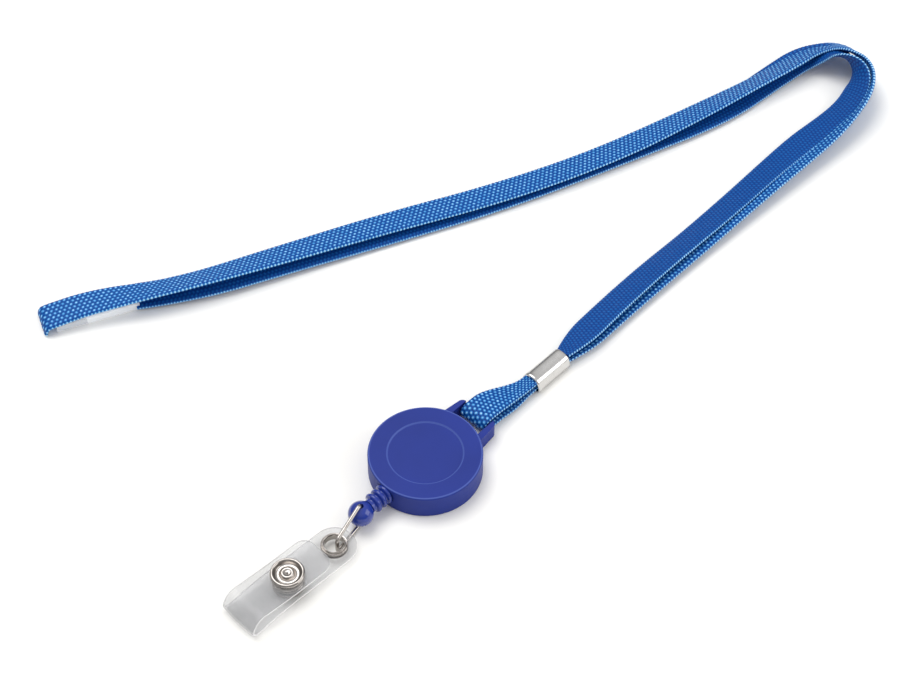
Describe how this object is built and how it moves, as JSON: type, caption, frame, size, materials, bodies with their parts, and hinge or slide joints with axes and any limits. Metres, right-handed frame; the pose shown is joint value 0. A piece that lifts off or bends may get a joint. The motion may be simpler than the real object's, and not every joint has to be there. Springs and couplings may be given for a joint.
{
  "type": "retractable badge reel with neck lanyard",
  "caption": "Retractable badge reel with snap badge strap, hanging on a flat braided neck strap with a crimped ferrule and a breakaway clasp.",
  "frame": {"origin": "reel axis on the back face of the reel housing", "axes": "+Z out of the reel's front face, +Y from the badge strap through the reel towards the neck strap's ferrule, +X to the right seen from the front"},
  "size_m": [0.1372, 0.2882, 0.0093],
  "materials": {
    "blue_plastic": "fine satin moulded plastic, blue",
    "stop_plastic": "glossy moulded plastic, blue",
    "spool_plastic": "natural white moulded plastic",
    "cord": "thin braided nylon cord, dark blue",
    "spring_steel": "flat spring steel strip",
    "nickel": "bright nickel plate",
    "ferrule_chrome": "polished nickel plate",
    "clear_vinyl": "clear flexible vinyl, glossy",
    "blue_braid": "flat braided polyester, bright blue with a light sheen",
    "clasp_clear": "translucent moulded plastic",
    "clasp_frosted": "milky translucent moulded plastic"
  },
  "bodies": {
    "lanyard": {"strap_upper": "blue_braid", "strap_lower": "blue_braid", "strap_slot_loop": "blue_braid", "ferrule": "ferrule_chrome", "clasp_plug": "clasp_clear"},
    "clasp_socket": {"clasp_socket": "clasp_frosted"},
    "reel": {"rear_cover": "blue_plastic", "front_cover": "blue_plastic"},
    "spool": {"spool": "spool_plastic", "cord_winding": "cord", "power_spring": "spring_steel"},
    "cord_end": {"cord_lead": "cord", "cord_knot": "cord"},
    "cord_stop": {"cord_stop": "stop_plastic"},
    "link": {"wire_link": "nickel"},
    "badge_strap": {"vinyl_base": "clear_vinyl", "vinyl_fold": "clear_vinyl", "eyelet": "nickel", "eyelet_washer": "nickel", "snap_post": "nickel", "snap_stud": "nickel"},
    "strap_flap": {"vinyl_flap": "clear_vinyl", "snap_socket": "nickel", "snap_cap": "nickel"}
  },
  "joints": [
    {"name": "clasp_release", "type": "slide", "parent": "lanyard", "child": "clasp_socket", "axis": [0.4163, 0.9092, 0], "range_m": [0, 0.012], "deforming": ["strap_lower"]},
    {"name": "reel_swing", "type": "hinge", "parent": "lanyard", "child": "reel", "pos_m": [-0.0006, 0.0216, 0.003], "axis": [-1, 0, 0], "range_deg": [-60, 60]},
    {"name": "cord_pull", "type": "slide", "parent": "reel", "child": "cord_end", "axis": [0, -1, 0], "range_m": [0, 0.82], "deforming": ["cord_lead"]},
    {"name": "spool_spin", "type": "hinge", "parent": "reel", "child": "spool", "pos_m": [0, 0, 0], "axis": [0, 0, 1], "range_deg": [0, 4933], "stiffness_Nm_per_rad": 0.000055, "springref_deg": -3609.63, "deforming": ["power_spring"]},
    {"name": "stop_swivel", "type": "hinge", "parent": "cord_end", "child": "cord_stop", "pos_m": [0, -0.0215, 0.00475], "axis": [0, -1, 0], "continuous": true},
    {"name": "link_swing", "type": "hinge", "parent": "cord_stop", "child": "link", "pos_m": [0, -0.02525, 0.00475], "axis": [0, 0, 1], "range_deg": [-60, 60]},
    {"name": "strap_swing", "type": "hinge", "parent": "link", "child": "badge_strap", "pos_m": [0.00207, -0.03641, 0.0024], "axis": [0, 0, 1], "range_deg": [-45, 45]},
    {"name": "flap_open", "type": "hinge", "parent": "badge_strap", "child": "strap_flap", "pos_m": [-0.00053, -0.06776, 0.00363], "axis": [0.9988, -0.0488, 0], "range_deg": [0, 150], "deforming": ["vinyl_fold"]}
  ],
  "couplings": [
    {"joint": "spool_spin", "follows": "cord_pull", "rad_per_m": 105}
  ]
}
